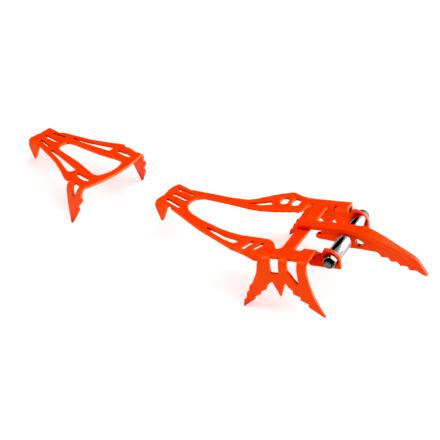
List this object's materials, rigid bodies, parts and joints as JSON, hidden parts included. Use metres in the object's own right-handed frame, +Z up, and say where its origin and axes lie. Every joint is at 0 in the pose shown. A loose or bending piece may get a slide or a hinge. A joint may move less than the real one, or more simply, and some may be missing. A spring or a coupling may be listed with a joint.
{
  "type": "technical crampon",
  "caption": "Bent-sheet steel crampon for a right boot: an open toe frame with a bolted forward point between spacer tubes, and a separate heel frame.",
  "frame": {"origin": "on the ground, under the middle of the bounding box", "axes": "+X from the heel frame to the forward point, along the middle of the sole and level with the ground, +Y to the wearer's left (the inner side of the foot), +Z up. The plates rise 5.1 degrees towards the toe, so that the long points stand on the ground"},
  "size_m": [0.367, 0.1396, 0.0733],
  "materials": {
    "frame_coat": "vivid orange-red powder coat on steel sheet, semi-gloss, thinner and paler along cut edges",
    "point_coat": "vivid orange-red powder coat on solid steel, semi-gloss",
    "polished_tube": "polished steel tube with fine drawn lines along its length",
    "bolt_steel": "grey turned steel",
    "nut_steel": "bright zinc-plated steel with a dark locking collar"
  },
  "bodies": {
    "front": {"front_frame": "frame_coat", "front_point": "point_coat", "spacer_tube_right": "polished_tube", "spacer_tube_left": "polished_tube"},
    "heel": {"heel_frame": "frame_coat"},
    "bolt": {"cross_bolt": "bolt_steel"},
    "nut": {"lock_nut": "nut_steel"}
  },
  "joints": [
    {"name": "length_adjust", "type": "slide", "parent": "front", "child": "heel", "axis": [0.996, 0, 0.0889], "range_m": [-0.035, 0.04]},
    {"name": "bolt_turn", "type": "hinge", "parent": "front", "child": "bolt", "pos_m": [0.11669, 0.01899, 0.05783], "axis": [-0.2122, 0.977, -0.0189], "continuous": true},
    {"name": "nut_turn", "type": "hinge", "parent": "front", "child": "nut", "pos_m": [0.11669, 0.01899, 0.05783], "axis": [-0.2122, 0.977, -0.0189], "continuous": true}
  ]
}
